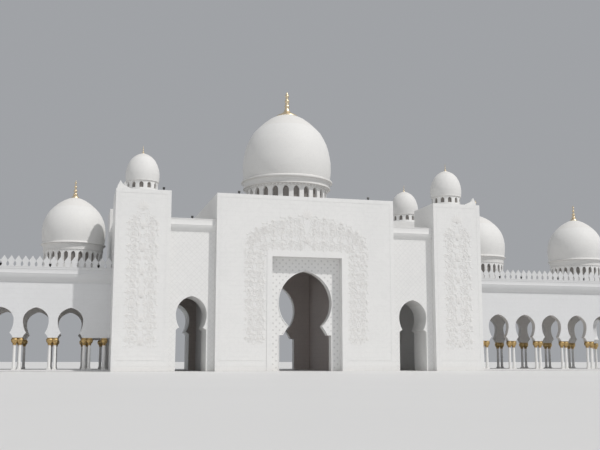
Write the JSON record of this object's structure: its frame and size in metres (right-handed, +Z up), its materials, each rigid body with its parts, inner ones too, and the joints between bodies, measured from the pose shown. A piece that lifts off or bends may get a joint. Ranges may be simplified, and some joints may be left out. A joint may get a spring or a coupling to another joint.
{
  "type": "domed mosque courtyard gate with arcades, 1:10 scale model",
  "caption": "Marble courtyard gate with keyhole arches, corner towers, a large dome and a domed arcade on each side, at 1:10.",
  "frame": {"origin": "middle of the gate's plan, on the ground", "axes": "+Z up, -Y out of the courtyard front, +X to the right seen from the courtyard"},
  "size_m": [10.75, 2.3, 4.0503],
  "materials": {
    "marble": "honed white marble cladding",
    "shaded_stone": "plain stone and render",
    "gilt": "gilded metal"
  },
  "bodies": {
    "root": {"gate_front_wall": "marble", "portal_front_screen": "marble", "gate_back_wall": "marble", "portal_back_screen": "marble", "gate_side_wall_left": "marble", "gate_side_wall_right": "marble", "hall_wall_left": "shaded_stone", "hall_wall_right": "shaded_stone", "gate_roof": "shaded_stone", "main_dome": "marble", "main_finial": "gilt", "tower_front_left": "marble", "tower_dome_front_left": "marble", "bay_wall_front_left": "marble", "tower_front_right": "marble", "tower_dome_front_right": "marble", "bay_wall_front_right": "marble", "tower_back_left": "marble", "tower_dome_back_left": "marble", "bay_wall_back_left": "marble", "tower_back_right": "marble", "tower_dome_back_right": "marble", "bay_wall_back_right": "marble", "bay_roof_left": "shaded_stone", "side_wall_left": "marble", "arcade_left_front_wall": "marble", "arcade_left_back_wall": "marble", "arcade_left_end_wall": "marble", "arcade_left_parapet": "marble", "arcade_left_columns": "marble", "arcade_left_roof": "shaded_stone", "arcade_dome_left_1": "marble", "arcade_dome_left_2": "marble", "bay_roof_right": "shaded_stone", "side_wall_right": "marble", "arcade_right_front_wall": "marble", "arcade_right_back_wall": "marble", "arcade_right_end_wall": "marble", "arcade_right_parapet": "marble", "arcade_right_columns": "marble", "arcade_right_roof": "shaded_stone", "arcade_dome_right_1": "marble", "arcade_dome_right_2": "marble"}
  },
  "joints": []
}
